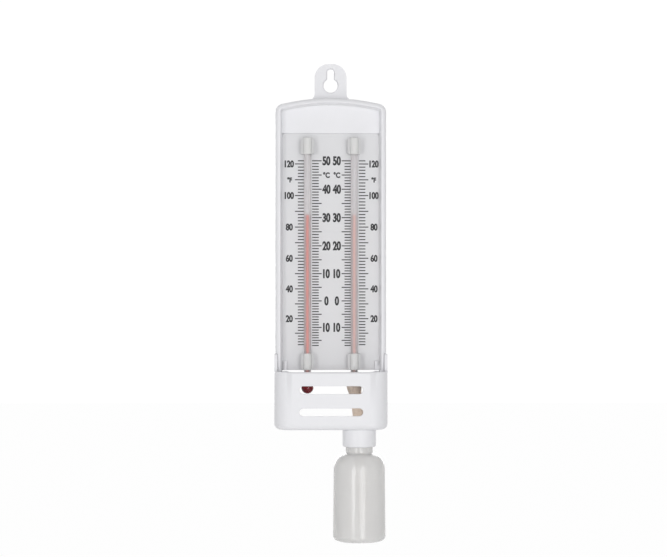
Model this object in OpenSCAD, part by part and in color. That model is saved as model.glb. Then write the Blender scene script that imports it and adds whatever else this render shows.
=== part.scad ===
// Wet and dry bulb hygrometer that hangs on a wall.
// Millimetres. The origin is the centre of the keyhole's round hole, on the wall.
// Z is up, X is to the reader's right, and the front faces -Y.

/* [Case] */
// Width of the case where it meets the wall
case_w = 72.5; // [72:0.5:80]
// Depth of the case, from the wall to the front of its rim
case_d = 15; // [14:0.5:18]
// Distance from the keyhole down to the top of the arch
arch_drop = 8.8; // [7.5:0.1:12]
// Radius of the arched top
arch_r = 137; // [100:1:200]
// Radius of the two upper corners
corner_r = 5.5; // [5:0.1:8]
// Width of the rim at its front
rim_w = 3.5; // [3.2:0.1:4.2]
// How far the inside of the rim slopes in, from its front to the scale plate
rim_slope = 1.35; // [0.6:0.05:1.6]
// Rounding of the rim's outer edge
rim_round = 3; // [1.5:0.1:3.2]
// How far the sides lean in towards the front
side_draft = 0.3; // [0:0.1:0.6]
// Thickness of the panel that carries the scale plate
panel_t = 2; // [1.5:0.1:2.4]
// Distance from the wall to the front of that panel
panel_y = 6.5; // [6:0.1:7.5]
// Thickness of the outer wall, seen from behind
case_wall = 2.2; // [1.6:0.1:2.6]
// Height of the plain header above the scale plate
header_h = 23; // [20:0.5:30]
// How far the header stands in front of the panel
header_t = 2.5; // [2:0.1:4]
// Number of stiffening ribs behind the panel
rib_count = 3; // [1:1:5]
// Thickness of a stiffening rib
rib_t = 1.6; // [1.2:0.1:2.4]
// Height of the bar that closes the window under the bulbs
sill_h = 4.4; // [3.6:0.1:5]
// Thickness of that bar
sill_t = 4; // [3:0.1:5]

/* [Hanging lug] */
// Width of the lug
lug_w = 21; // [20:0.5:28]
// Height of the lug above the keyhole
lug_top = 14.1; // [13.5:0.1:18]
// Thickness of the lug
lug_t = 2.5; // [2.2:0.1:4]
// Radius of the lug's upper corners
lug_round = 9.1; // [4:0.1:10]
// Radius of the fillets between the lug and the arch
lug_fillet = 4; // [2:0.1:6]
// Radius of the round hole that passes the head of the wall screw
key_r = 4.6; // [4:0.1:6]
// Radius of the slot that holds the wall screw
slot_r = 2.2; // [2.1:0.1:2.6]
// Distance from the round hole's centre to the slot's end centre
slot_rise = 8.6; // [7.5:0.1:9.5]
// Chamfer round the front of the keyhole
key_chamfer = 0.7; // [0.2:0.1:1]

/* [Scale plate] */
// Length of the scale plate
plate_l = 154; // [150:1:170]
// Thickness of the scale plate
plate_t = 1.5; // [1:0.1:2]
// Distance from the top of the plate to its zero mark
zero_drop = 109; // [105:0.5:112]
// Distance between two degree marks
degree_mm = 1.8; // [1.7:0.01:1.85]
// Temperature that both columns show
reading = 31; // [5:1:45]
// Height of the lugs that hold the plate's lower corners
plate_lug_h = 6; // [4:0.5:8]
// Reach of those lugs over the plate
plate_lug_w = 2.8; // [2:0.1:3.5]
// Thickness of those lugs
plate_lug_t = 1.8; // [1:0.1:2.4]

/* [Thermometers] */
// Distance between the two thermometers
tube_spacing = 30.4; // [28:0.2:32]
// Radius of the glass stem
stem_r = 2.25; // [2.1:0.05:2.4]
// Radius of the bore in the stem
bore_r = 0.7; // [0.5:0.05:0.8]
// Radius of the bulb
bulb_r = 4; // [3.6:0.1:4.2]
// Thickness of the bulb's glass
bulb_wall = 0.7; // [0.5:0.05:0.9]
// Distance from the plate's lower edge to the centre of the dry bulb
dry_bulb_drop = 11.2; // [9.5:0.1:12]
// Height of the part of a column that rides on top of it
meniscus_h = 2; // [1.5:0.1:3]
// Width of the white enamel strip in the back of the stem
enamel_w = 2.8; // [2:0.1:3]
// Thickness of that strip
enamel_t = 0.4; // [0.3:0.05:0.5]

/* [Sleeves and clips] */
// Radius of the soft sleeves on the stem's ends
sleeve_r = 2.95; // [2.8:0.05:3.1]
// Length of a sleeve
sleeve_l = 10.8; // [9:0.1:12]
// Distance from the plate's upper edge to the upper sleeves
sleeve_drop = 3; // [2.5:0.1:6]
// Width of a clip
clip_w = 8.8; // [8.4:0.1:9.6]
// Thickness of a clip behind the sleeve
clip_base = 0.8; // [0.6:0.1:1.2]
// Rounding of a clip's corners
clip_round = 1.6; // [0.8:0.1:2.4]
// Width of the mouth that the sleeve snaps through
clip_mouth = 5; // [4.4:0.1:5.2]
// Radius of the two pegs behind each clip
peg_r = 1.1; // [0.9:0.05:1.3]
// Distance between those pegs
peg_spacing = 6; // [5:0.1:7]

/* [Bulb guard] */
// How far the guard stands out past each side of the case
guard_side = 0.35; // [0.25:0.05:1.2]
// How far the guard's front stands out past the collar
guard_lip = 1.4; // [0.9:0.1:5]
// Height of the guard's front
guard_h = 37.4; // [36:0.2:44]
// Thickness of the guard's walls
guard_wall = 2; // [1.6:0.1:2.2]
// Gap under the scale plate's lower edge
guard_gap = 0.4; // [0.2:0.1:2]
// Radius of the guard's two upright front corners
guard_round = 12; // [8:0.5:12]
// Rounding of the guard's lower edge
guard_foot_round = 3.8; // [2:0.1:4]
// Height of the cheeks that rise beside the case
cheek_h = 11; // [8:0.5:14]
// Length of a vent slot
vent_l = 40.8; // [36:0.2:42]
// Height of a vent slot
vent_h = 5; // [4.6:0.1:6]
// Distance from the guard's top to the centre of the upper vent slot
vent_drop = 11.5; // [10:0.1:13]
// Distance between the two vent slots
vent_spacing = 14.2; // [12:0.1:15]
// Distance from the edge of the case's tongue to the screws
screw_edge = 5; // [4.7:0.1:5.7]
// Distance from the guard's top and floor to the screws
screw_inset = 4.6; // [4.4:0.1:5]
// Radius of the screws
screw_r = 1.3; // [1.1:0.05:1.5]
// Radius of the screws' heads
screw_head_r = 2.5; // [2.2:0.1:2.6]
// Length of a screw under its head
screw_l = 12; // [10:0.5:13]
// Radius of the bosses that take the screws
boss_r = 3.2; // [2.8:0.1:3.4]

/* [Wick] */
// Thickness of the cotton over the bulb
sock_t = 0.6; // [0.4:0.05:0.7]
// Length of the sock under the bulb's centre
sock_l = 10; // [8.5:0.5:11]
// Width of the flat wick that runs down to the water
wick_w = 7; // [6:0.1:7.2]
// Thickness of the wick
wick_t = 3; // [2.4:0.1:3.2]
// Gap between the lower sleeve and the sock
sock_gap = 1.4; // [0.4:0.1:2]
// Length of the sock above its tie
sock_brim = 1; // [0.6:0.1:2]
// Thickness of the thread that ties the sock on
tie_t = 0.8; // [0.6:0.05:1]
// Height of the band that its turns make
tie_h = 2.6; // [1.6:0.1:3]

/* [Bottle] */
// How far the bottle stands to the right of the wet thermometer
bottle_shift = 3.1; // [2:0.1:4]
// Gap between the bottle and the wall
bottle_clear = 0.8; // [0.3:0.1:1]
// Outside radius of the collar
collar_r = 10.8; // [10.7:0.1:11.2]
// Length of the collar under the guard
collar_l = 11.3; // [11:0.1:14]
// Rounding of the collar's lower edge
collar_round = 1.3; // [0.3:0.1:1.4]
// Radius of the bottle
bottle_r = 17; // [16:0.1:17.5]
// How much slimmer the bottle is just under its shoulder
bottle_taper = 0.4; // [0:0.1:0.8]
// Height of the bottle under the collar
bottle_h = 60.6; // [50:0.2:80]
// Thickness of the bottle's wall
bottle_wall = 1; // [0.8:0.1:1.4]
// Rounding of the bottle's lower edge
bottle_round = 3.2; // [2:0.1:5]
// Height of the bottle's shoulder
shoulder_h = 10.8; // [10:0.2:16]
// Radius of the bare neck, which is that of its thread too
neck_r = 8.75; // [8.6:0.05:8.8]
// Bare neck that shows under the collar
neck_show = 4.1; // [3.6:0.1:5]
// Depth of the screw thread
thread_depth = 0.75; // [0.5:0.05:0.8]
// Pitch of the screw thread
thread_pitch = 3; // [2.5:0.1:3.2]
// Thickness of the sealing disc
seal_t = 1.5; // [1:0.1:2]
// Radius of the hole that passes the wick
wick_hole_r = 4.4; // [4.2:0.1:4.6]

/* [Fits] */
// Gap round a part that slides or turns
run_gap = 0.05; // [0.02:0.01:0.08]
// Gap round a part that is pushed or dropped into place
push_gap = 0.2; // [0.1:0.05:0.3]
// Gap between the screw threads
thread_gap = 0.25; // [0.2:0.05:0.3]

/* [Hidden] */
$fn = 64;
cut = 1;
thin = 0.01;
arc_steps = 10;
// Distance from the wall to the rear edge of the guard and of the ribs.
wall_gap = 0.4;

arch_z = -arch_drop;
arch_centre_z = arch_z - arch_r;
plate_top_z = arch_z - header_h;
plate_bottom_z = plate_top_z - plate_l;
zero_z = plate_top_z - zero_drop;
reading_z = zero_z + reading * degree_mm;
guard_top_z = plate_bottom_z - guard_gap;
guard_w = case_w + 2 * guard_side;
guard_bottom_z = guard_top_z - guard_h;
floor_z = guard_bottom_z + guard_wall;
tongue_w = guard_w - 2 * guard_wall - 2 * push_gap;
screw_x = tongue_w / 2 - screw_edge;
tongue_top_z = guard_top_z + cheek_h + push_gap;
tongue_bottom_z = floor_z + push_gap;
valley_w = rim_w + rim_slope;
recess_w = case_w - 2 * valley_w;
plate_y = panel_y + plate_t;
window_top_z = plate_bottom_z;
window_bottom_z = tongue_bottom_z + sill_h;

tube_x = tube_spacing / 2;
bottle_x = tube_x + bottle_shift;
bottle_y = bottle_r + bottle_clear;
guard_d = bottle_y + collar_r + guard_lip;
sleeve_top_z = plate_top_z - sleeve_drop;
low_sleeve_top_z = plate_bottom_z + sleeve_l + 0.2;
tube_y = plate_y + clip_base + push_gap / 2 + sleeve_r;
sleeve_roof = 1;
stem_top_z = sleeve_top_z - sleeve_roof - push_gap;
column_foot_z = plate_bottom_z - 2.4;
dry_bulb_z = plate_bottom_z - dry_bulb_drop;
sock_top_z = low_sleeve_top_z - sleeve_l - sock_gap;
tie_z = sock_top_z - sock_brim - tie_h / 2;
// How far the middle of the tie lies above the middle of the wet bulb.
tie_rise = bulb_r + 2.2;
wet_bulb_z = tie_z - tie_rise;
bore_top_z = stem_top_z - 2.5;
enamel_gap = 0.03;
// How deep the enamel strip lies under the back of the stem.
enamel_skin = 0.25;

vent_z = [guard_top_z - vent_drop, guard_top_z - vent_drop - vent_spacing];
screw_z = [guard_top_z - screw_inset, tongue_bottom_z + screw_inset];
screw_seat_y = case_d - 4;
pad_r = screw_head_r + push_gap + 1.7;

collar_top_z = guard_bottom_z;
collar_bottom_z = collar_top_z - collar_l;
collar_bore_r = neck_r + thread_gap;
spigot_r = collar_bore_r + 0.4;
neck_root_r = neck_r - thread_depth;
neck_bore_r = neck_root_r - bottle_wall;
seal_top_z = collar_top_z - run_gap;
neck_top_z = seal_top_z - seal_t - run_gap;
shoulder_z = collar_bottom_z - neck_show;
bottle_bottom_z = collar_bottom_z - bottle_h;
// The collar's thread starts here, and the neck's rests on it half a pitch higher.
collar_thread_z = collar_bottom_z + 1.4;
neck_thread_z = collar_thread_z + thread_pitch / 2;
collar_turns = 1;
// Bare wall between the end of the neck's thread and its rim.
neck_rim = 0.8;
neck_turns = (neck_top_z - neck_rim - neck_thread_z) / thread_pitch;

// Points of the wick's centre, from the sock down to its free end in the water.
wick_route = [
    [16.5, -13.0, -204], [16.9, -14.2, -208], [17.4, -15.5, -212], [17.8, -16.7, -216],
    [18.2, -17.6, -220], [18.3, -17.8, -224], [18.3, -17.8, -230], [18.4, -17.8, -238],
    [18.8, -17.8, -246], [19.4, -17.7, -254], [20.1, -17.6, -262], [20.6, -17.6, -270],
    [20.8, -17.7, -278], [20.6, -17.8, -284]
];

// Points on an arc about c, from angle a0 to angle a1.
function arc(c, r, a0, a1, n = arc_steps) =
    [for (i = [0:n]) let (a = a0 + (a1 - a0) * i / n) [c[0] + r * cos(a), c[1] + r * sin(a)]];

function mirrored(points) =
    [for (i = [len(points) - 1:-1:0]) [-points[i][0], points[i][1]]];

// Turns an outline in X and Z into a solid between two distances from the wall.
module layer(from, to) {
    translate([0, -from, 0]) rotate([90, 0, 0]) linear_extrude(to - from) children();
}

// A straight round rod or hole that runs away from the wall.
module rod(x, z, r, from, to) {
    translate([x, -from, z]) rotate([90, 0, 0]) cylinder(h = to - from, r = r);
}

module at_tube(side) {
    translate([side * tube_x, -tube_y, 0]) children();
}

module at_bottle() {
    translate([bottle_x, -bottle_y, 0]) children();
}

// A closed solid through a list of rings with equally many points each.
module loft(rings) {
    n = len(rings[0]);
    last = len(rings) - 1;
    points = [for (ring = rings) each ring];
    sides = [for (i = [0:last - 1], j = [0:n - 1]) let (k = (j + 1) % n) each [
        [i * n + j, (i + 1) * n + j, (i + 1) * n + k],
        [i * n + j, (i + 1) * n + k, i * n + k]
    ]];
    caps = [[for (j = [0:n - 1]) j], [for (j = [n - 1:-1:0]) last * n + j]];
    polyhedron(points, concat(sides, caps));
}

// The outline of the case, drawn in by d all round and open down to the height foot.
module case_outline(d, foot) {
    half = case_w / 2 - d;
    big = arch_r - d;
    small = max(corner_r - d, 0.8);
    cx = half - small;
    cz = arch_centre_z + sqrt(pow(big - small, 2) - cx * cx);
    lean = atan2(cz - arch_centre_z, cx);
    right = concat([[half, foot]], arc([cx, cz], small, 0, lean, 8));
    top = arc([0, arch_centre_z], big, lean, 180 - lean, 4 * arc_steps);
    polygon(concat(right, top, mirrored(right)));
}

module lug_outline() {
    half = lug_w / 2;
    fx = half + lug_fillet;
    fz = arch_centre_z + sqrt(pow(arch_r + lug_fillet, 2) - fx * fx);
    lean = atan2(fz - arch_centre_z, fx);
    right = concat(
        [[fx - lug_fillet * cos(lean), arch_z - 6]],
        arc([fx, fz], lug_fillet, 180 + lean, 180, 6),
        arc([half - lug_round, lug_top - lug_round], lug_round, 0, 90)
    );
    polygon(concat(right, mirrored(right)));
}

module keyhole() {
    chamfer_y = lug_t - key_chamfer;
    rod(0, 0, key_r, -cut, lug_t + cut);
    rod(0, slot_rise, slot_r, -cut, lug_t + cut);
    layer(-cut, lug_t + cut) translate([-slot_r, 0]) square([2 * slot_r, slot_rise]);
    translate([0, -chamfer_y, 0]) rotate([90, 0, 0])
        cylinder(h = key_chamfer + thin, r1 = key_r, r2 = key_r + key_chamfer);
    hull() for (z = [0, slot_rise], step = [0, 1]) {
        y = chamfer_y + step * key_chamfer;
        rod(0, z, slot_r + step * key_chamfer, y, y + thin, $fn = 32);
    }
}

// The case before its hollows: arched, with a rounded rim and a narrower tongue in the guard.
module case_block() {
    crest = side_draft + rim_round;
    difference() {
        hull() {
            layer(0, thin) case_outline(0, tongue_bottom_z);
            for (a = [0:15:90])
                layer(case_d - rim_round * (1 - sin(a)) - thin, case_d - rim_round * (1 - sin(a)))
                    case_outline(crest - rim_round * cos(a), tongue_bottom_z);
        }
        for (side = [-1, 1])
            translate([side * (tongue_w / 2 + case_w / 2), 0, tongue_bottom_z - cut])
                translate([-case_w / 2, -case_d - cut, 0])
                cube([case_w, case_d + 2 * cut, tongue_top_z - tongue_bottom_z + cut]);
    }
}

module back_case() color([0.92, 0.92, 0.93]) {
    difference() {
        union() {
            case_block();
            layer(0, lug_t) lug_outline();
        }
        // The recess in front of the panel, and the rim's sloping inside above it
        layer(panel_y, plate_y + thin) case_outline(valley_w, window_bottom_z);
        hull() {
            layer(case_d, case_d + thin) case_outline(rim_w, window_bottom_z);
            layer(plate_y, plate_y + thin) case_outline(valley_w, window_bottom_z);
        }
        // The hollow behind the panel
        layer(-cut, panel_y - panel_t) difference() {
            case_outline(case_wall, plate_bottom_z + case_wall);
            translate([-case_w / 2, arch_z - 8]) square([case_w, 8]);
        }
        // The window behind the bulbs
        layer(-cut, case_d + cut)
            translate([-recess_w / 2, window_bottom_z])
            square([recess_w, window_top_z - window_bottom_z]);
        layer(sill_t, case_d + cut)
            translate([-recess_w / 2, tongue_bottom_z - cut])
            square([recess_w, window_top_z - tongue_bottom_z + cut]);
        keyhole();
        for (side = [-1, 1], z = clip_peg_z()) rod(side * tube_x, z, peg_r + push_gap / 2, 0, panel_y + cut);
        for (side = [-1, 1], z = screw_z) {
            rod(side * screw_x, z, screw_r + push_gap, -cut, case_d + cut);
            rod(side * screw_x, z, screw_head_r + push_gap, -cut, screw_seat_y);
        }
    }
    // The plain header
    layer(panel_y - thin, panel_y + header_t) intersection() {
        case_outline(rim_w + 0.4, plate_top_z);
        translate([-case_w / 2, plate_top_z]) square([case_w, header_h]);
    }
    ribs();
    for (side = [-1, 1]) {
        plate_lug(side);
        for (z = screw_z) screw_pad(side, z);
    }
}

function clip_z() = [sleeve_top_z - sleeve_l / 2, low_sleeve_top_z - sleeve_l / 2];

function clip_peg_z() = [for (z = clip_z(), s = [-0.5, 0.5]) z + s * peg_spacing];

module ribs() {
    span = low_sleeve_top_z - sleeve_top_z;
    for (i = [1:rib_count])
        translate([0, 0, sleeve_top_z + span * i / (rib_count + 1)])
        layer(wall_gap, panel_y - panel_t + thin)
        translate([-case_w / 2 + case_wall / 2, -rib_t / 2])
        square([case_w - case_wall, rib_t]);
}

module plate_lug(side) {
    inner = recess_w / 2 - plate_lug_w;
    translate([0, 0, plate_bottom_z])
        layer(plate_y + run_gap, plate_y + run_gap + plate_lug_t)
        translate([side > 0 ? inner : -inner - plate_lug_w - 1, 0])
        square([plate_lug_w + 1, plate_lug_h]);
}

module screw_pad(side, z) {
    difference() {
        rod(side * screw_x, z, pad_r, screw_seat_y - 3, case_d - run_gap);
        rod(side * screw_x, z, screw_r + push_gap, 0, case_d + cut);
        rod(side * screw_x, z, screw_head_r + push_gap, 0, screw_seat_y);
        translate([side * tongue_w - tongue_w / 2, -case_d - cut, z - 2 * pad_r])
            cube([tongue_w, case_d + 2 * cut, 4 * pad_r]);
    }
}

// The plan of the guard, drawn in by d, with its rear edge at the distance back from the wall.
module guard_plan(d, back) {
    half = guard_w / 2 - d;
    r = guard_round - d;
    front = -guard_d + d;
    right = concat(arc([half - r, front + r], r, -90, 0, 16), [[half, -back]]);
    polygon(concat(right, mirrored(right)));
}

module guard_shell() {
    height = guard_h + cheek_h;
    difference() {
        hull() {
            for (a = [0:15:90])
                translate([0, 0, guard_bottom_z + guard_foot_round * (1 - sin(a))])
                linear_extrude(thin) guard_plan(guard_foot_round * (1 - cos(a)), wall_gap);
            translate([0, 0, guard_bottom_z + height - thin]) linear_extrude(thin) guard_plan(0, wall_gap);
        }
        translate([0, 0, floor_z]) linear_extrude(height + cut) guard_plan(guard_wall, -cut);
        guard_brow();
    }
}

// What is cut away in front of the cheeks and above the guard's front.
module guard_brow() {
    rear = case_d + push_gap;
    front = guard_d - guard_round;
    chamfer = 1.2;
    steps = 8;
    curve = [for (i = [0:steps]) let (t = i / steps)
        [-front + (front - rear) * t, guard_top_z + cheek_h * (0.5 - 0.5 * cos(180 * t))]];
    outline = concat(
        [[-guard_d - cut, guard_top_z - chamfer], [-guard_d, guard_top_z - chamfer]],
        [[-guard_d + chamfer, guard_top_z]],
        curve,
        [[-rear, guard_top_z + cheek_h + cut], [-guard_d - cut, guard_top_z + cheek_h + cut]]
    );
    translate([-guard_w, 0, 0]) rotate([90, 0, 90]) linear_extrude(2 * guard_w) polygon(outline);
}

module vent_slot(z) {
    half = vent_l / 2 - vent_h / 2;
    for (side = [-1, 1]) rod(side * half, z, vent_h / 2, guard_d - guard_wall - cut, guard_d + cut);
    layer(guard_d - guard_wall - cut, guard_d + cut)
        translate([-half, z - vent_h / 2]) square([2 * half, vent_h]);
}

module bulb_guard() color([0.92, 0.92, 0.93]) difference() {
    union() {
        guard_shell();
        intersection() {
            for (side = [-1, 1], z = screw_z) rod(side * screw_x, z, boss_r, case_d, guard_d);
            translate([0, 0, guard_bottom_z]) linear_extrude(guard_h) guard_plan(guard_wall / 2, wall_gap);
        }
        // The flat seat that the collar is welded to
        at_bottle() translate([0, 0, guard_bottom_z]) cylinder(h = guard_wall, r = collar_r);
    }
    for (z = vent_z) vent_slot(z);
    for (side = [-1, 1], z = screw_z)
        rod(side * screw_x, z, screw_r + run_gap, case_d - cut, screw_seat_y + screw_l + 1);
    at_bottle() translate([0, 0, guard_bottom_z - cut])
        cylinder(h = guard_wall + 2 * cut, r = spigot_r + run_gap);
}

module guard_screws() color([0.7, 0.7, 0.72]) for (side = [-1, 1], z = screw_z) difference() {
    union() {
        rod(side * screw_x, z, screw_head_r, screw_seat_y - 1.8, screw_seat_y);
        rod(side * screw_x, z, screw_r, screw_seat_y, screw_seat_y + screw_l);
    }
    for (turn = [0, 90])
        translate([side * screw_x, -screw_seat_y + 1.8, z]) rotate([0, turn, 0])
        translate([-screw_head_r * 0.6, -1, -0.3]) cube([screw_head_r * 1.2, 2, 0.6]);
}

module scale_plate() color([0.87, 0.87, 0.87]) difference() {
    layer(panel_y, plate_y) {
        half = recess_w / 2 - push_gap / 2;
        r = 1.5;
        right = concat(arc([half - r, plate_bottom_z + r], r, -90, 0, 6),
            arc([half - r, plate_top_z - push_gap / 2 - r], r, 0, 90, 6));
        polygon(concat(right, mirrored(right)));
    }
    for (side = [-1, 1], z = clip_peg_z()) rod(side * tube_x, z, peg_r + push_gap / 2, 0, plate_y + cut);
}

// Half of the section of a stem and its bulb, from the top end down to the lowest point.
function stem_half(r, top, ball_r, ball_z) = concat(
    arc([0, top - r], r, 90, 0, 6),
    arc([0, ball_z], ball_r, acos(r / ball_r), -90, 20)
);

module glass(ball_z) {
    outside = stem_half(stem_r, stem_top_z, bulb_r, ball_z);
    inside = stem_half(bore_r, bore_top_z, bulb_r - bulb_wall, ball_z);
    back = [for (i = [len(inside) - 1:-1:0]) inside[i]];
    difference() {
        rotate_extrude() polygon([for (p = concat(outside, back)) [max(p[0], 0), p[1]]]);
        enamel_strip(enamel_gap);
    }
}

// The strip in the back of the stem, grown by a little where the glass is cut for it.
module enamel_strip(grow) {
    outer = stem_r - enamel_skin + grow;
    inner = stem_r - enamel_skin - enamel_t - grow;
    bottom = column_foot_z + 1 - grow;
    translate([0, 0, bottom]) linear_extrude(bore_top_z - 1 + grow - bottom) intersection() {
        difference() {
            circle(outer);
            circle(inner);
        }
        translate([-enamel_w / 2 - grow, 0]) square([enamel_w + 2 * grow, stem_r]);
    }
}

module spirit(ball_z) color([0.4, 0.02, 0.06]) {
    r = bore_r - run_gap;
    ball_r = bulb_r - bulb_wall - run_gap;
    side = concat([[0, column_foot_z - run_gap], [r, column_foot_z - run_gap]],
        arc([0, ball_z], ball_r, acos(r / ball_r), -90, 20));
    rotate_extrude() polygon([for (p = side) [max(p[0], 0), p[1]]]);
}

module column() color([0.8, 0.35, 0.3])
    translate([0, 0, column_foot_z])
    cylinder(h = reading_z - meniscus_h - run_gap - column_foot_z, r = bore_r - run_gap);

module meniscus() color([0.8, 0.35, 0.3]) translate([0, 0, reading_z - meniscus_h]) rotate_extrude() {
    r = bore_r - run_gap;
    polygon([[0, 0], [r, 0], [r, meniscus_h - 0.3], [r * 0.6, meniscus_h - 0.1], [0, meniscus_h]]);
}

// A soft sleeve; the upper ones are closed at the top.
module sleeve(top, closed) color([0.86, 0.86, 0.85]) {
    soft = 0.4;
    bore = stem_r + run_gap;
    hollow = closed ? [[0, -sleeve_roof], [bore, -sleeve_roof]] : [[bore, 0]];
    outside = [[sleeve_r - soft, 0], [sleeve_r, -soft], [sleeve_r, soft - sleeve_l],
        [sleeve_r - soft, -sleeve_l], [bore, -sleeve_l]];
    translate([0, 0, top]) rotate_extrude()
        polygon(concat(closed ? [[0, 0]] : [], outside, [for (i = [len(hollow) - 1:-1:0]) hollow[i]]));
}

module clip(z) color([0.8, 0.8, 0.8]) {
    reach = tube_y - plate_y;
    lip = 1.5;
    difference() {
        translate([0, 0, z - sleeve_l / 2]) linear_extrude(sleeve_l)
            translate([-clip_w / 2, -lip]) square([clip_w, reach + lip]);
        translate([0, 0, z - sleeve_l]) cylinder(h = 2 * sleeve_l, r = sleeve_r + push_gap / 2);
        translate([-clip_mouth / 2, -sleeve_r - 1, z - sleeve_l]) cube([clip_mouth, sleeve_r, 2 * sleeve_l]);
        clip_corners(z);
    }
    for (s = [-0.5, 0.5])
        translate([0, reach - thin, z + s * peg_spacing]) rotate([-90, 0, 0])
        cylinder(h = plate_t + panel_t, r = peg_r);
}

// The four corners that are rounded off a clip, seen from the front.
module clip_corners(z) {
    for (side = [-1, 1], end = [-1, 1])
        translate([side * clip_w / 2, 0, z + end * sleeve_l / 2]) rotate([90, 0, 0])
        linear_extrude(2 * tube_y, center = true) difference() {
            square(2 * clip_round, center = true);
            translate([-side * clip_round, -end * clip_round]) circle(clip_round);
        }
}

// A ring of points about c, as wide as 2a in X and 2b in Y.
function ring(c, a, b, n = 16) =
    [for (i = [0:n - 1]) [c[0] + a * cos(360 * i / n), c[1] + b * sin(360 * i / n), c[2]]];

module wick_sock() color([0.79, 0.73, 0.68]) {
    snug = stem_r + push_gap + sock_t;
    full = bulb_r + push_gap + sock_t;
    foot = wick_route[0];
    difference() {
        loft([
            ring([foot[0], foot[1], wet_bulb_z - sock_l], wick_w / 2 + 0.1, 2.5),
            ring([tube_x + 0.9, -tube_y - 0.6, wet_bulb_z - 5.4], full - 1.1, full - 1.4),
            ring([tube_x + 0.4, -tube_y - 0.2, wet_bulb_z - 3], full - 0.3, full - 0.3),
            ring([tube_x, -tube_y, wet_bulb_z - 1], full, full),
            ring([tube_x, -tube_y, wet_bulb_z + 1.2], full, full),
            ring([tube_x, -tube_y, wet_bulb_z + 3], full - 0.9, full - 0.9),
            ring([tube_x, -tube_y, tie_z - tie_h / 2 - 0.5], snug + 0.1, snug + 0.1),
            ring([tube_x, -tube_y, tie_z - tie_h / 2], snug, snug),
            ring([tube_x, -tube_y, sock_top_z], snug, snug)
        ]);
        at_tube(1) rotate_extrude() polygon([for (p = stem_half(stem_r + push_gap, sock_top_z + 4,
            bulb_r + push_gap, wet_bulb_z)) [max(p[0], 0), p[1]]]);
    }
}

// The thread that ties the sock on, as one round band.
module wick_tie() color([0.93, 0.92, 0.9]) {
    r = stem_r + push_gap + sock_t + tie_t / 2 + run_gap;
    at_tube(1) translate([0, 0, tie_z]) rotate_extrude() polygon(concat(
        arc([r, (tie_h - tie_t) / 2], tie_t / 2, 0, 180, 6),
        arc([r, (tie_t - tie_h) / 2], tie_t / 2, 180, 360, 6)
    ));
}

module wick_tail() color([0.79, 0.73, 0.68]) {
    last = len(wick_route) - 1;
    loft([for (i = [last:-1:0]) let (p = wick_route[i])
        ring([p[0], p[1], i == 0 ? wet_bulb_z - sock_l : p[2]], wick_w / 2, wick_t / 2, 10)]);
}

// A ridge that climbs along a screw thread, from a wall at the radius base to the radius crest.
module thread(base, crest, z0, turns) {
    steps = 24;
    last = round(steps * turns);
    sunk = base < crest ? base - 0.2 : base + 0.2;
    foot = 0.65;
    tip = 0.35;
    function fade(i) = min(1, i / 4, (last - i) / 4);
    function edge(i) = base + (crest - base) * max(fade(i), 0.05);
    function side(i) = [[-foot, sunk], [foot, sunk], [tip, edge(i)], [-tip, edge(i)]];
    function turned(i) = base < crest ? side(i) : [side(i)[0], side(i)[3], side(i)[2], side(i)[1]];
    loft([for (i = [0:last]) let (a = 360 * i / steps)
        [for (p = turned(i)) [p[1] * cos(a), p[1] * sin(a), z0 + thread_pitch * i / steps + p[0]]]]);
}

module bottle_collar() color([0.92, 0.92, 0.93]) at_bottle() {
    rotate_extrude() polygon(concat(
        [[wick_hole_r, collar_top_z], [wick_hole_r, floor_z], [spigot_r, floor_z], [spigot_r, collar_top_z]],
        [[collar_r, collar_top_z]],
        arc([collar_r - collar_round, collar_bottom_z + collar_round], collar_round, 0, -90, 8),
        [[collar_bore_r, collar_bottom_z], [collar_bore_r, collar_top_z]]
    ));
    thread(collar_bore_r, neck_root_r + thread_gap, collar_thread_z, collar_turns);
}

module neck_seal() color([0.85, 0.85, 0.82]) at_bottle()
    translate([0, 0, seal_top_z - seal_t]) difference() {
        cylinder(h = seal_t, r = neck_root_r - 0.1);
        translate([0, 0, -cut]) cylinder(h = seal_t + 2 * cut, r = wick_hole_r);
    }

// The bottle's outline on one side, from the rim of its neck to the middle of its base.
function bottle_half(t) = let (
    reach = bottle_r - bottle_taper - t,
    eye_z = shoulder_z - shoulder_h,
    start = 82
) concat(
    t == 0
        ? [[neck_root_r, neck_top_z], [neck_root_r, collar_bottom_z + 0.6], [neck_r, collar_bottom_z + 0.2],
           [neck_r, shoulder_z + 1.2], [neck_r + 0.15, shoulder_z + 0.6], [neck_r + 0.5, shoulder_z + 0.15]]
        : [[neck_bore_r, neck_top_z], [neck_bore_r, shoulder_z + 0.2], [neck_bore_r + 0.6, shoulder_z - 0.8]],
    [for (i = [0:14]) let (a = start * (1 - i / 14))
        [neck_r + (reach - neck_r) * cos(a), eye_z + (shoulder_h - t) * sin(a)]],
    arc([bottle_r - bottle_round, bottle_bottom_z + bottle_round], bottle_round - t, 0, -90, 8),
    [[bottle_r - bottle_round - 1.5, bottle_bottom_z + t],
     [bottle_r - bottle_round - 3.5, bottle_bottom_z + 1 + t], [0, bottle_bottom_z + 1 + t]]
);

module bottle() color([0.84, 0.84, 0.83]) at_bottle() {
    inside = bottle_half(bottle_wall);
    rotate_extrude($fn = 96)
        polygon(concat(bottle_half(0), [for (i = [len(inside) - 1:-1:0]) inside[i]]));
    thread(neck_root_r, neck_r, neck_thread_z, neck_turns);
}

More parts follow.
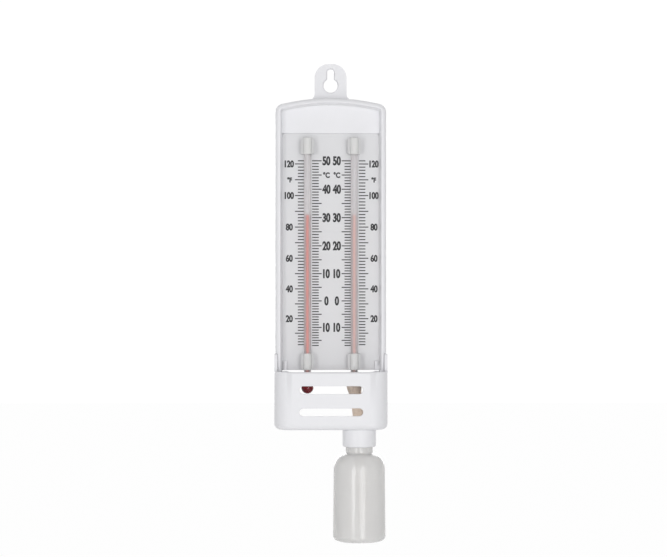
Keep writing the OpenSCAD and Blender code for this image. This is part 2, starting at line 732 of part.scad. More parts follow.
back_case();
bulb_guard();
guard_screws();
scale_plate();
at_tube(-1) color([0.9, 0.92, 0.93, 0.5]) glass(dry_bulb_z);  // dry_glass
at_tube(1) color([0.9, 0.92, 0.93, 0.5]) glass(wet_bulb_z);  // wet_glass
at_tube(-1) color([0.95, 0.95, 0.95]) enamel_strip(0);  // dry_enamel
at_tube(1) color([0.95, 0.95, 0.95]) enamel_strip(0);  // wet_enamel
at_tube(-1) spirit(dry_bulb_z);  // dry_spirit
at_tube(1) spirit(wet_bulb_z);  // wet_spirit
at_tube(-1) column();  // dry_column
at_tube(1) column();  // wet_column
at_tube(-1) meniscus();  // dry_meniscus
at_tube(1) meniscus();  // wet_meniscus
at_tube(-1) sleeve(sleeve_top_z, true);  // dry_top_sleeve
at_tube(1) sleeve(sleeve_top_z, true);  // wet_top_sleeve
at_tube(-1) sleeve(low_sleeve_top_z, false);  // dry_bottom_sleeve
at_tube(1) sleeve(low_sleeve_top_z, false);  // wet_bottom_sleeve
at_tube(-1) clip(clip_z()[0]);  // dry_top_clip
at_tube(1) clip(clip_z()[0]);  // wet_top_clip
at_tube(-1) clip(clip_z()[1]);  // dry_bottom_clip
at_tube(1) clip(clip_z()[1]);  // wet_bottom_clip
wick_sock();
wick_tie();
wick_tail();
bottle_collar();
neck_seal();
bottle();
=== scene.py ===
import math

import bmesh
import bpy
from bpy.props import FloatProperty, FloatVectorProperty, IntProperty, PointerProperty
from mathutils import Matrix, Vector


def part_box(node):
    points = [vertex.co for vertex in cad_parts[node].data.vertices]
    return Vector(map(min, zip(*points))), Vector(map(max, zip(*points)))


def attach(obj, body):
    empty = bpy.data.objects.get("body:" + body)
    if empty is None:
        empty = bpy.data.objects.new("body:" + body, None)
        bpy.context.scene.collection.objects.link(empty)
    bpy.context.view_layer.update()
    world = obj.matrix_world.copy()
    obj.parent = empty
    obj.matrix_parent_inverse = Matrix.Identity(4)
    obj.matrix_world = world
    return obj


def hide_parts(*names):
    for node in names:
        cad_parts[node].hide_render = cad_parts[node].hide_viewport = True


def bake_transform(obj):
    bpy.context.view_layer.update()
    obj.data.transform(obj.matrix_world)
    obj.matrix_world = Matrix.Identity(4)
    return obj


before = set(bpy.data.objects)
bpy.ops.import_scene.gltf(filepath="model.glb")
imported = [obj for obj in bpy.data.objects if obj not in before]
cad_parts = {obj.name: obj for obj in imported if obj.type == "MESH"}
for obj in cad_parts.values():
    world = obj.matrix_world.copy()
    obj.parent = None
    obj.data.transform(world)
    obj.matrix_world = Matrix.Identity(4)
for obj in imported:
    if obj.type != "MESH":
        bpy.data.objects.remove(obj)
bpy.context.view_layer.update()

bl_info = {
    "name": "Wet and Dry Bulb Hygrometer",
    "version": (1, 0, 0),
    "blender": (4, 5, 0),
    "location": "3D Viewport > Sidebar > Hygrometer",
    "description": "Finishes a wall hung hygrometer: mouldings, thermometers, scale, wick and bottle",
    "category": "Add Mesh",
}

MM = 0.001

PLATE_LOW, PLATE_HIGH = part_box("scale_plate")
PLATE_FRONT = PLATE_LOW.y
BOTTLE_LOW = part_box("bottle")[0]
SOCK_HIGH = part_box("wick_sock")[1]

# The gap round the scale plate, and the edge radii of the plate, the screws, and the bottle and disc.
SHEET_GAP = 0.09 * MM
SHEET_EDGE = 0.05 * MM
SCREW_EDGE = 0.12 * MM
BOTTLE_EDGE = 0.15 * MM

# The glass is milky down to the first height and clear from the second, just over the bulb.
MILKY_Z = -187 * MM
CLEAR_Z = -190 * MM

# The degree lines from near to far, and how far every fifth one reaches, from the plate's middle.
CELSIUS_LINES = (8.4 * MM, 12.7 * MM)
CELSIUS_REACH = 6.5 * MM
FAHRENHEIT_LINES = (17.7 * MM, 22.0 * MM)
FAHRENHEIT_REACH = 23.9 * MM

# How far the middles of the numerals stand from the plate's middle.
CELSIUS_X = 3.4 * MM
FAHRENHEIT_X = 27.6 * MM

# How much of the font's own width the lettering keeps, and how far its outline is thickened.
CELSIUS_FORM = (0.65, 0.34 * MM)
FAHRENHEIT_FORM = (0.74, 0.27 * MM)
SIGN_FORM = (0.85, 0.24 * MM)

# The degree signs: text, distance from the plate's middle, Celsius mark that it stands at, height.
SIGNS = (("°C", 3.4 * MM, 45, 3.9 * MM), ("°F", 27.4 * MM, 43.3, 3.5 * MM))

# A wave texture of this scale repeats once for each unit.
ONE_WAVE = 0.314

# The soft boxes: name, place and size in metres, and power in watts.
LAMPS = (
    ("Key", (0.4, -1.6, -0.08), (0.7, 0.95), 6.8),
    ("Fill", (-0.75, -1.5, -0.08), (0.4, 0.95), 4.5),
    ("Back", (0.0, 1.5, 0.25), (1.6, 1.1), 10.8),
)

# The wick's centre, from the sock down to its free end in the water, in metres.
WICK_ROUTE = [
    (0.0165, -0.0130, -0.2055), (0.0169, -0.0142, -0.2080), (0.0174, -0.0155, -0.2120),
    (0.0178, -0.0167, -0.2160), (0.0182, -0.0176, -0.2200), (0.0183, -0.0178, -0.2240),
    (0.0183, -0.0178, -0.2300), (0.0184, -0.0178, -0.2380), (0.0188, -0.0178, -0.2460),
    (0.0194, -0.0177, -0.2540), (0.0201, -0.0176, -0.2620), (0.0206, -0.0176, -0.2700),
    (0.0208, -0.0177, -0.2780), (0.0206, -0.0178, -0.2840),
]


def srgb(code, alpha=1.0):
    """The linear colour of an sRGB hex code."""
    parts = [int(code[i : i + 2], 16) / 255 for i in (0, 2, 4)]
    linear = [p / 12.92 if p <= 0.04045 else ((p + 0.055) / 1.055) ** 2.4 for p in parts]
    return (*linear, alpha)


def length(name, description, mm):
    """A length that the user can change, given in millimetres."""
    return FloatProperty(name=name, description=description, default=mm * MM, min=0.0,
                         subtype="DISTANCE", precision=5)


def colour(name, description, code):
    """A colour that the user can change, given as an sRGB hex code."""
    return FloatVectorProperty(name=name, description=description, default=srgb(code), size=4,
                               min=0.0, max=1.0, subtype="COLOR")


class HygrometerSizes(bpy.types.PropertyGroup):
    """Sizes that the finish of the hygrometer is made from"""

    edge: length("Moulded edge", "Radius of the edges of the white mouldings", 0.3)
    small_edge: length("Small edge", "Radius of the edges of the stem clips", 0.2)
    stem_r: length("Stem radius", "Outside radius of the glass stem", 2.25)
    bore_r: length("Bore radius", "Radius of the bore in the stem", 0.58)
    glass_wall: length("Bulb wall", "Thickness of the bulb's glass", 0.4)
    ink: length("Ink", "Height of the printed ink over the plate", 0.03)
    tick: length("Tick width", "Width of a printed degree line", 0.66)
    zero_rise: length("Zero mark", "Height of the zero mark over the plate's lower edge", 45.0)
    print_shift: length("Print shift", "How far the print sits to the right of the middle", 0.6)
    celsius_h: length("Celsius numerals", "Height of the large numerals", 6.1)
    fahrenheit_h: length("Fahrenheit numerals", "Height of the small numerals", 4.7)
    wick_w: length("Wick width", "Width of the flat wick", 7.0)
    wick_t: length("Wick thickness", "Thickness of the flat wick", 3.0)
    wales: IntProperty(name="Wales", description="Ribs of knitting round the wick",
                       default=22, min=8, max=48)
    course: length("Course", "Height of one row of knitting", 1.0)
    thread_d: length("Thread", "Thickness of the thread that ties the sock on", 0.75)


class HygrometerColours(bpy.types.PropertyGroup):
    """Colours of the hygrometer's finishes"""

    case: colour("Case", "White ABS of the case, guard and collar", "E9E9EC")
    plate: colour("Plate", "Pale PVC sheet that carries the scale", "DCDCDE")
    ink: colour("Ink", "Screen printed ink", "232326")
    steel: colour("Steel", "Zinc plated steel of the screws", "C4C5C8")
    glass: colour("Glass", "Drawn glass of the thermometers", "E6E4E5")
    enamel: colour("Enamel", "White opal glass behind the bore", "D8D5D6")
    spirit: colour("Spirit", "Dyed spirit in the bulb", "8E0418")
    column: colour("Column", "Dyed spirit in the dry bore", "DC4008")
    faded: colour("Faded column", "Older, paler spirit in the wet bore", "DCA094")
    sleeve: colour("Sleeve", "Soft clear vinyl", "EAEAE9")
    # The clips' grey is partly the plastic's own tone and partly painted shade beside the sleeves.
    clip: colour("Clip", "Natural polypropylene", "D4D4D5")
    cotton: colour("Cotton", "Unbleached knitted cotton", "FFEEE2")
    thread: colour("Thread", "Bleached cotton thread", "EDEBE6")
    seal: colour("Seal", "Polythene foam", "DEDEDA")
    bottle: colour("Bottle", "Natural polythene", "F6F5F4")


def add(tree, kind, settings=None, links=None):
    """Adds a shader node, sets its sockets and properties, and feeds its inputs."""
    made = tree.nodes.new(kind)
    for key, value in (settings or {}).items():
        if isinstance(key, int) or key in made.inputs:
            made.inputs[key].default_value = value
        else:
            setattr(made, key, value)
    for key, source in (links or {}).items():
        tree.links.new(source, made.inputs[key])
    return made


def finish(name, base, roughness, sockets=None):
    """A material with one Principled shader, and its tree and shader."""
    material = bpy.data.materials.new(name)
    material.use_nodes = True
    tree = material.node_tree
    shader = tree.nodes["Principled BSDF"]
    values = {"Base Color": base, "Roughness": roughness, **(sockets or {})}
    for key, value in values.items():
        shader.inputs[key].default_value = value
    return material, tree, shader


def shade(base, factor):
    """A colour made darker or lighter by a factor."""
    return (*[min(1.0, c * factor) for c in base[:3]], base[3])


def grain(tree, shader, size, height, stretch=(1, 1, 1)):
    """Bumps the surface with soft noise whose grains are size across and height deep."""
    place = add(tree, "ShaderNodeTexCoord")
    scale = [1 / (size * s) for s in stretch]
    mapping = add(tree, "ShaderNodeMapping", {"Scale": scale}, {"Vector": place.outputs["Object"]})
    noise = add(tree, "ShaderNodeTexNoise", {"Scale": 1.0, "Detail": 3.0},
                {"Vector": mapping.outputs[0]})
    bump = add(tree, "ShaderNodeBump", {"Distance": height, "Strength": 1.0},
               {"Height": noise.outputs[0]})
    tree.links.new(bump.outputs[0], shader.inputs["Normal"])
    return place


def cloud(tree, shader, place, base, size, spread, rough=None):
    """Varies the colour, and the roughness if it has a range, in clouds that are size across."""
    mapping = add(tree, "ShaderNodeMapping", {"Scale": [1 / size] * 3},
                  {"Vector": place.outputs["Object"]})
    noise = add(tree, "ShaderNodeTexNoise", {"Scale": 1.0, "Detail": 4.0},
                {"Vector": mapping.outputs[0]})
    mix = add(tree, "ShaderNodeMix",
              {"data_type": "RGBA", 6: shade(base, 1 - spread), 7: shade(base, 1 + spread)},
              {0: noise.outputs[0]})
    tree.links.new(mix.outputs[2], shader.inputs["Base Color"])
    if rough:
        span = add(tree, "ShaderNodeMapRange",
                   {"From Min": 0.3, "From Max": 0.7, "To Min": rough[0], "To Max": rough[1]},
                   {"Value": noise.outputs[0]})
        tree.links.new(span.outputs[0], shader.inputs["Roughness"])


def moulded_abs(colours):
    """White ABS, injection moulded: an even satin with a very fine orange peel."""
    material, tree, shader = finish("Moulded white ABS", colours.case, 0.42, {"IOR": 1.5})
    place = grain(tree, shader, 0.9 * MM, 0.004 * MM)
    cloud(tree, shader, place, colours.case, 26 * MM, 0.012, (0.38, 0.46))
    return material


def pvc_sheet(colours):
    """Calendered PVC sheet: duller than the case, with a faint grain along its length."""
    material, tree, shader = finish("Calendered PVC sheet", colours.plate, 0.5, {"IOR": 1.53})
    place = grain(tree, shader, 0.5 * MM, 0.004 * MM, (1, 1, 5))
    cloud(tree, shader, place, colours.plate, 30 * MM, 0.012, (0.44, 0.56))
    return material


def screen_ink(colours):
    """Screen printed vinyl ink: flat and dark, a little uneven where the mesh left less of it."""
    material, tree, shader = finish("Screen printed ink", colours.ink, 0.55, {"IOR": 1.5})
    place = grain(tree, shader, 0.25 * MM, 0.003 * MM)
    cloud(tree, shader, place, colours.ink, 1.5 * MM, 0.25)
    return material


def zinc_plate(colours):
    """Zinc plated steel: bright, with faint clouds where the plating is duller."""
    material, tree, shader = finish("Zinc plated steel", colours.steel, 0.32, {"Metallic": 1.0})
    place = grain(tree, shader, 0.3 * MM, 0.004 * MM)
    cloud(tree, shader, place, colours.steel, 2 * MM, 0.08, (0.25, 0.42))
    return material


def drawn_glass(colours):
    """Soda lime glass drawn into a stem: clear and polished at the bulb, milky and duller above it."""
    material, tree, shader = finish("Drawn glass", colours.glass, 0.3,
                                    {"IOR": 1.52, "Specular IOR Level": 0.05})
    place = add(tree, "ShaderNodeTexCoord")
    upright = add(tree, "ShaderNodeSeparateXYZ", {}, {0: place.outputs["Object"]})
    change = {"From Min": MILKY_Z, "From Max": CLEAR_Z}
    clear = add(tree, "ShaderNodeMapRange", {**change, "To Min": 0.76, "To Max": 1.0},
                {"Value": upright.outputs["Z"]})
    tree.links.new(clear.outputs[0], shader.inputs["Transmission Weight"])
    polish = add(tree, "ShaderNodeMapRange", {**change, "To Min": 0.3, "To Max": 0.06},
                 {"Value": upright.outputs["Z"]})
    tree.links.new(polish.outputs[0], shader.inputs["Roughness"])
    cloud(tree, shader, place, colours.glass, 4 * MM, 0.02)
    return material


def opal_glass(colours):
    """White opal glass, drawn into the back of the stem: even and glossy."""
    material, tree, shader = finish("White opal glass", colours.enamel, 0.25, {"IOR": 1.52})
    place = grain(tree, shader, 0.6 * MM, 0.002 * MM, (1, 1, 20))
    cloud(tree, shader, place, colours.enamel, 8 * MM, 0.015)
    return material


def dyed_spirit(colours):
    """Red dyed spirit in the bulb: deep, opaque and a little uneven."""
    material, tree, shader = finish("Dyed spirit in the bulb", colours.spirit, 0.2,
                                    {"IOR": 1.36, "Specular IOR Level": 0.1})
    place = add(tree, "ShaderNodeTexCoord")
    cloud(tree, shader, place, colours.spirit, 3 * MM, 0.2)
    return material


def spirit_column(colours):
    """The same dye in a thin bore, lit through from the opal strip: light red, paler on the wet side."""
    material, tree, shader = finish("Dyed spirit in the bore", colours.column, 0.4, {"IOR": 1.36})
    place = add(tree, "ShaderNodeTexCoord")
    noise = add(tree, "ShaderNodeTexNoise", {"Scale": 1 / (4 * MM)}, {"Vector": place.outputs["Object"]})
    across = add(tree, "ShaderNodeSeparateXYZ", {}, {0: place.outputs["Object"]})
    side = add(tree, "ShaderNodeMapRange", {"From Min": -1 * MM, "From Max": 1 * MM},
               {"Value": across.outputs["X"]})
    uneven = add(tree, "ShaderNodeMath", {"operation": "MULTIPLY_ADD", 1: 0.1},
                 {0: noise.outputs[0], 2: side.outputs[0]})
    mix = add(tree, "ShaderNodeMix", {"data_type": "RGBA", 6: colours.column, 7: colours.faded},
              {0: uneven.outputs[0]})
    tree.links.new(mix.outputs[2], shader.inputs["Base Color"])
    return material


def soft_vinyl(colours):
    """Soft vinyl tube, nearly opaque: dull, with a faint grain along it."""
    material, tree, shader = finish("Soft vinyl", colours.sleeve, 0.65,
                                    {"IOR": 1.4, "Transmission Weight": 0.15})
    place = grain(tree, shader, 0.7 * MM, 0.01 * MM, (1, 1, 4))
    cloud(tree, shader, place, colours.sleeve, 5 * MM, 0.02)
    return material


def natural_polypropylene(colours):
    """Unpigmented polypropylene, injection moulded and waxy: greyer than the case, partly its own milky
    tone and partly painted shade.
    """
    material, tree, shader = finish("Natural polypropylene", colours.clip, 0.42,
                                    {"IOR": 1.49, "Transmission Weight": 0.15})
    place = grain(tree, shader, 0.6 * MM, 0.006 * MM)
    cloud(tree, shader, place, colours.clip, 6 * MM, 0.02, (0.36, 0.48))
    return material


def knitted_cotton(colours):
    """Unbleached cotton, knitted as a tube: rows of stitches with soft fibres between them."""
    known = bpy.data.materials.get("Knitted cotton")
    if known:
        return known
    material, tree, shader = finish("Knitted cotton", colours.cotton, 0.9,
                                    {"Sheen Weight": 0.35, "Sheen Roughness": 0.6, "IOR": 1.47})
    weave = add(tree, "ShaderNodeUVMap", {"uv_map": "Knit"})
    rows = add(tree, "ShaderNodeTexWave",
               {"bands_direction": "Y", "Scale": ONE_WAVE, "Distortion": 1.2, "Detail": 2.0},
               {"Vector": weave.outputs[0]})
    ribs = add(tree, "ShaderNodeTexWave", {"bands_direction": "X", "Scale": ONE_WAVE, "Distortion": 0.6},
               {"Vector": weave.outputs[0]})
    place = add(tree, "ShaderNodeTexCoord")
    fibres = add(tree, "ShaderNodeTexNoise", {"Scale": 1 / (0.25 * MM), "Detail": 4.0},
                 {"Vector": place.outputs["Object"]})
    stitch = add(tree, "ShaderNodeMath", {"operation": "MULTIPLY"},
                 {0: rows.outputs["Fac"], 1: ribs.outputs["Fac"]})
    height = add(tree, "ShaderNodeMath", {"operation": "MULTIPLY_ADD", 1: 0.5},
                 {0: fibres.outputs[0], 2: stitch.outputs[0]})
    bump = add(tree, "ShaderNodeBump", {"Distance": 0.25 * MM, "Strength": 0.6},
               {"Height": height.outputs[0]})
    tree.links.new(bump.outputs[0], shader.inputs["Normal"])
    # The colour follows the bump's height: painted shade in the hollows between the stitches and painted
    # light on their tops, over the yarn's own uneven tone from the fibre noise.
    mix = add(tree, "ShaderNodeMix",
              {"data_type": "RGBA", 6: shade(colours.cotton, 0.9), 7: shade(colours.cotton, 1.1)},
              {0: height.outputs[0]})
    tree.links.new(mix.outputs[2], shader.inputs["Base Color"])
    through = add(tree, "ShaderNodeBsdfTranslucent", {}, {"Color": mix.outputs[2]})
    whole = add(tree, "ShaderNodeMixShader", {0: 0.5}, {1: shader.outputs[0], 2: through.outputs[0]})
    tree.links.new(whole.outputs[0], tree.nodes["Material Output"].inputs["Surface"])
    return material


def cotton_thread(colours):
    """Bleached sewing thread: matt, and roughened by its fibres."""
    material, tree, shader = finish("Cotton thread", colours.thread, 0.85, {"Sheen Weight": 0.3})
    place = grain(tree, shader, 0.3 * MM, 0.05 * MM)
    cloud(tree, shader, place, colours.thread, 1 * MM, 0.05)
    return material


def polythene_foam(colours):
    """Polythene foam disc: dull, with closed cells that show as small pits."""
    material, tree, shader = finish("Polythene foam", colours.seal, 0.7, {"IOR": 1.5})
    place = grain(tree, shader, 0.5 * MM, 0.06 * MM)
    cloud(tree, shader, place, colours.seal, 4 * MM, 0.04)
    return material


def blown_polythene(colours):
    """Natural polythene, extrusion blow moulded: milky, with faint flow lines down the wall."""
    material, tree, shader = finish("Blow moulded polythene", colours.bottle, 0.17,
                                    {"IOR": 1.51, "Transmission Weight": 0.38})
    place = grain(tree, shader, 1.6 * MM, 0.02 * MM, (1, 1, 12))
    cloud(tree, shader, place, colours.bottle, 9 * MM, 0.03)
    return material


def in_order(bm):
    """Sorts bm's points, edges and faces, which Blender's tools leave in a new order in each run."""
    for i, point in enumerate(sorted(bm.verts, key=lambda v: v.co[:])):
        point.index = i
    bm.verts.sort()
    for group in (bm.edges, bm.faces):
        for i, element in enumerate(sorted(group, key=lambda e: sorted(v.index for v in e.verts))):
            element.index = i
        group.sort()


def piece(name, bm, material, body, replaces=(), sharp=35.0):
    """Makes an object of bm, smooth but for edges sharper than sharp degrees, and ties it to its body, if
    it has one.
    """
    in_order(bm)
    for face in bm.faces:
        face.smooth = True
    mesh = bpy.data.meshes.new(name)
    bm.to_mesh(mesh)
    bm.free()
    mesh.set_sharp_from_angle(angle=math.radians(sharp))
    mesh.materials.append(material)
    made = bpy.data.objects.new(name, mesh)
    bpy.context.scene.collection.objects.link(made)
    if body:
        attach(made, body)
    if replaces:
        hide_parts(*replaces)
    return made


def even_normals(made):
    """Weights the normals by face area, so that the narrow rounded edges leave flat faces flat."""
    weighted = made.modifiers.new("Even normals", "WEIGHTED_NORMAL")
    weighted.weight = 90
    weighted.keep_sharp = True
    return made


def merged_copy(node):
    """A bmesh copy of a CAD node, with its loose triangles joined and its flat faces whole."""
    bm = bmesh.new()
    bm.from_mesh(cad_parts[node].data)
    bmesh.ops.remove_doubles(bm, verts=bm.verts, dist=0.002 * MM)
    bmesh.ops.dissolve_limit(bm, angle_limit=math.radians(0.5), verts=bm.verts, edges=bm.edges)
    return bm


def round_edges(bm, radius, least=50.0, shortest=0.03 * MM):
    """Rounds bm's outer edges sharper than least degrees, each run of them as far as it has room."""
    bmesh.ops.dissolve_degenerate(bm, dist=shortest, edges=bm.edges)
    left = {e: True for e in bm.edges
            if e.is_manifold and e.is_convex and e.calc_face_angle() > math.radians(least)}
    while left:
        front = [left.popitem()[0]]
        run = []
        while front:
            edge = front.pop()
            run.append(edge)
            front += [e for v in edge.verts for e in v.link_edges if left.pop(e, False)]
        bmesh.ops.bevel(bm, geom=run, offset=radius, offset_type="OFFSET", affect="EDGES", segments=3,
                        profile=0.5, material=-1, clamp_overlap=True)
    return bm


def spun(profile, axis, steps=64, closed=True, inward=False):
    """A solid of revolution about the upright line through axis, from points of radius and height."""
    bm = bmesh.new()
    verts = [bm.verts.new((axis[0] + r, axis[1], z)) for r, z in profile]
    pairs = list(zip(verts, verts[1:]))
    if closed:
        pairs.append((verts[-1], verts[0]))
    edges = [bm.edges.new(pair) for pair in pairs]
    bmesh.ops.spin(bm, geom=verts + edges, cent=(axis[0], axis[1], 0), axis=(0, 0, 1), angle=2 * math.pi,
                   steps=steps, use_merge=True)
    bmesh.ops.remove_doubles(bm, verts=bm.verts, dist=0.001 * MM)
    bmesh.ops.recalc_face_normals(bm, faces=bm.faces)
    if inward:
        bmesh.ops.reverse_faces(bm, faces=bm.faces)
    return bm


def arc(centre, radius, start, end, steps):
    """Points on an arc in a profile, with angles in degrees."""
    angles = [math.radians(start + (end - start) * i / steps) for i in range(steps + 1)]
    return [(centre[0] + radius * math.cos(a), centre[1] + radius * math.sin(a)) for a in angles]


def joined(*parts):
    """One bmesh of several."""
    whole = bmesh.new()
    for part in parts:
        mesh = bpy.data.meshes.new("part")
        part.to_mesh(mesh)
        part.free()
        whole.from_mesh(mesh)
        bpy.data.meshes.remove(mesh)
    return whole


def smooth_curve(keys, steps):
    """Points on a smooth curve through keys, with steps of them from each key to the next."""
    ends = [keys[0], *keys, keys[-1]]
    made = []
    for a, b, c, d in zip(ends, ends[1:], ends[2:], ends[3:]):
        for i in range(steps):
            t = i / steps
            made.append(tuple(
                0.5 * (2 * q + (r - p) * t + (2 * p - 5 * q + 4 * r - s) * t**2
                       + (3 * q - p - 3 * r + s) * t**3)
                for p, q, r, s in zip(a, b, c, d)
            ))
    return [*made, tuple(keys[-1])]


def stem_profile(r, end, ball, bulb_z):
    """Profile of a stem of radius r, from its closed top end down round its bulb of radius ball."""
    lean = math.degrees(math.acos(r / ball))
    crown = arc((0, end - r), r, 90, 0, 12)
    bulb = arc((0, bulb_z), ball, lean, -90, 32)
    rings = 80
    fall = (bulb[0][1] - crown[-1][1]) / rings
    return crown + [(r, crown[-1][1] + fall * i) for i in range(1, rings)] + bulb


def knitted_tube(rings, sides, wales, rib, course):
    """A ribbed tube through rings of (centre, direction, half width, half depth), its UV in stitches."""
    bm = bmesh.new()
    uv = bm.loops.layers.uv.new("Knit")
    frames = []
    for centre, direction, half_w, half_d in rings:
        z = Vector(direction).normalized()
        y = z.cross(Vector((1, 0, 0))).normalized()
        x = y.cross(z)
        axes = Matrix([x * half_w, y * half_d, z]).transposed().to_4x4()
        frames.append(Matrix.Translation(centre) @ axes)
    ring = bmesh.ops.create_circle(bm, segments=sides, radius=1, matrix=frames[0])["verts"]
    edges = list({e for v in ring for e in v.link_edges})
    place = {}
    down = 0.0
    for i, now in enumerate(frames):
        if i:
            grown = bmesh.ops.extrude_edge_only(bm, edges=edges)["geom"]
            ring = [g for g in grown if isinstance(g, bmesh.types.BMVert)]
            edges = [g for g in grown
                     if isinstance(g, bmesh.types.BMEdge) and all(v in ring for v in g.verts)]
            bmesh.ops.transform(bm, matrix=now @ frames[i - 1].inverted(), verts=ring)
            down += (now.translation - frames[i - 1].translation).length
        back = now.inverted()
        for v in ring:
            local = back @ v.co
            place[v] = (math.atan2(local.y, local.x) / (2 * math.pi) % 1.0, down)
    middles = [now.translation for now in frames]
    for v, (turn, _) in place.items():
        middle = min(middles, key=lambda centre: (centre - v.co).length)
        v.co += (v.co - middle).normalized() * rib * math.cos(2 * math.pi * wales * turn)
    for face in bm.faces:
        turns = [place[loop.vert][0] for loop in face.loops]
        wraps = max(turns) - min(turns) > 0.5
        for loop, turn in zip(face.loops, turns):
            loop[uv].uv = ((turn + (wraps and turn < 0.5)) * wales, place[loop.vert][1] / course)
    return bm


def studio_lamp(name, place, aim, size, power):
    """A soft box, size wide and high, that points at aim."""
    lamp = bpy.data.lights.new(name, "AREA")
    lamp.shape = "RECTANGLE"
    lamp.size, lamp.size_y = size
    lamp.energy = power
    made = bpy.data.objects.new(name, lamp)
    made.location = place
    made.rotation_mode = "QUATERNION"
    made.rotation_quaternion = (Vector(aim) - Vector(place)).to_track_quat("-Z", "Y")
    bpy.context.scene.collection.objects.link(made)


def seen_rays(tree):
    """A socket that is 1 on rays that show the background, directly or in glass and gloss."""
    rays = add(tree, "ShaderNodeLightPath")
    gloss = add(tree, "ShaderNodeMath", {"operation": "MAXIMUM"},
                {0: rays.outputs["Is Camera Ray"], 1: rays.outputs["Is Glossy Ray"]})
    seen = add(tree, "ShaderNodeMath", {"operation": "MAXIMUM"},
               {0: gloss.outputs[0], 1: rays.outputs["Is Transmission Ray"]})
    return seen.outputs[0]


class OBJECT_OT_hygrometer_stage(bpy.types.Operator):
    """Sets the camera, the soft studio light and the pale floor"""

    bl_idname = "object.hygrometer_stage"
    bl_label = "Stage"

    def execute(self, context):
        scene = context.scene
        scene.view_settings.view_transform = "Standard"

        # The photograph is level, from 1.25 m and almost straight ahead.
        aim = Vector((1.75 * MM, -11.0 * MM, -126.2 * MM))
        away = 1.25
        turn = math.radians(-1.0)
        lens = bpy.data.cameras.new("Camera")
        lens.sensor_width = 36.0
        lens.lens = 103.8
        camera = bpy.data.objects.new("Camera", lens)
        camera.location = aim + away * Vector((math.sin(turn), -math.cos(turn), 0))
        camera.rotation_mode = "QUATERNION"
        camera.rotation_quaternion = (aim - camera.location).to_track_quat("-Z", "Y")
        scene.collection.objects.link(camera)
        scene.camera = camera

        for name, place, size, power in LAMPS:
            studio_lamp(name, place, aim, size, power)

        # The camera, gloss and glass see the background white, and less of it lights the object.
        # The floor's share of that white leaves a little room for its own shading.
        white = 1.02
        ambient = 0.5
        floor_share = 0.94
        world = bpy.data.worlds.new("Studio")
        scene.world = world
        world.use_nodes = True
        tree = world.node_tree
        strength = add(tree, "ShaderNodeMapRange", {"To Min": ambient, "To Max": white},
                       {"Value": seen_rays(tree)})
        tree.links.new(strength.outputs[0], tree.nodes["Background"].inputs["Strength"])
        tree.nodes["Background"].inputs["Color"].default_value = srgb("FFFFFF")

        # The floor is low enough for the soft boxes to show at full length in the bottle's gloss.
        floor = Matrix.Translation((0, 0, BOTTLE_LOW.z - 300 * MM))
        bm = bmesh.new()
        bmesh.ops.create_grid(bm, x_segments=1, y_segments=1, size=6.0, matrix=floor)
        material, tree, shader = finish("Pale studio floor", srgb("F4F4F4"), 0.8)
        glow = add(tree, "ShaderNodeEmission", {"Color": srgb("FFFFFF"), "Strength": white})
        share = add(tree, "ShaderNodeMath", {"operation": "MULTIPLY", 1: floor_share},
                    {0: seen_rays(tree)})
        mix = add(tree, "ShaderNodeMixShader", {},
                  {0: share.outputs[0], 1: shader.outputs[0], 2: glow.outputs[0]})
        tree.links.new(mix.outputs[0], tree.nodes["Material Output"].inputs["Surface"])
        piece("floor", bm, material, None)
        return {"FINISHED"}


class OBJECT_OT_hygrometer_wick(bpy.types.Operator):
    """Hangs the flat wick from the sock down into the bottle"""

    bl_idname = "object.hygrometer_wick"
    bl_label = "Wick"

    def execute(self, context):
        sizes = context.scene.hygrometer_sizes
        line = [Vector(p) for p in smooth_curve(WICK_ROUTE, 6)]
        ways = [b - a for a, b in zip(line, line[1:])]
        ways.append(ways[-1])
        rings = [(p, way, sizes.wick_w / 2, sizes.wick_t / 2) for p, way in zip(line, ways)]
        bm = knitted_tube(rings, 88, sizes.wales, 0.09 * MM, sizes.course)
        ends = [e for e in bm.edges if e.is_boundary]
        bmesh.ops.holes_fill(bm, edges=ends)
        bmesh.ops.recalc_face_normals(bm, faces=bm.faces)
        wick = piece("wick", bm, knitted_cotton(context.scene.hygrometer_colours), "case",
                     ["wick_tail"], 60.0)
        return {"FINISHED"}


class OBJECT_OT_hygrometer_mouldings(bpy.types.Operator):
    """Finishes the white mouldings, the scale plate and the screws"""

    bl_idname = "object.hygrometer_mouldings"
    bl_label = "Mouldings"

    def execute(self, context):
        sizes = context.scene.hygrometer_sizes
        colours = context.scene.hygrometer_colours
        white = moulded_abs(colours)
        for name, node, slot in (("case", "back_case", "case"), ("guard", "bulb_guard", "case"),
                                 ("collar", "bottle_collar", "case")):
            bm = round_edges(merged_copy(node), sizes.edge)
            even_normals(piece(name, bm, white, "case", [node]))
        # The sheet is pressed in between the walls, so it is spread over the fitting gap round it.
        plate = round_edges(merged_copy("scale_plate"), SHEET_EDGE)
        fill = (PLATE_HIGH.x + SHEET_GAP) / PLATE_HIGH.x
        rise = 1 + SHEET_GAP / (PLATE_HIGH.z - PLATE_LOW.z)
        foot = Matrix.Translation((0, 0, -PLATE_LOW.z))
        spread = foot.inverted() @ Matrix.Diagonal((fill, 1, rise, 1)) @ foot
        bmesh.ops.transform(plate, matrix=spread, verts=plate.verts)
        even_normals(piece("plate", plate, pvc_sheet(colours), "case", ["scale_plate"]))
        screws = round_edges(merged_copy("guard_screws"), SCREW_EDGE)
        even_normals(piece("screws", screws, zinc_plate(colours), "case", ["guard_screws"]))
        return {"FINISHED"}


def mark_z(celsius):
    """Height of a temperature's mark. The spirit grows faster as it warms, then the bore widens."""
    sizes = bpy.context.scene.hygrometer_sizes
    rise = 1.7534 * celsius + 0.0024 * celsius**2 - 1.92e-5 * celsius**3
    return PLATE_LOW.z + sizes.zero_rise + rise * MM


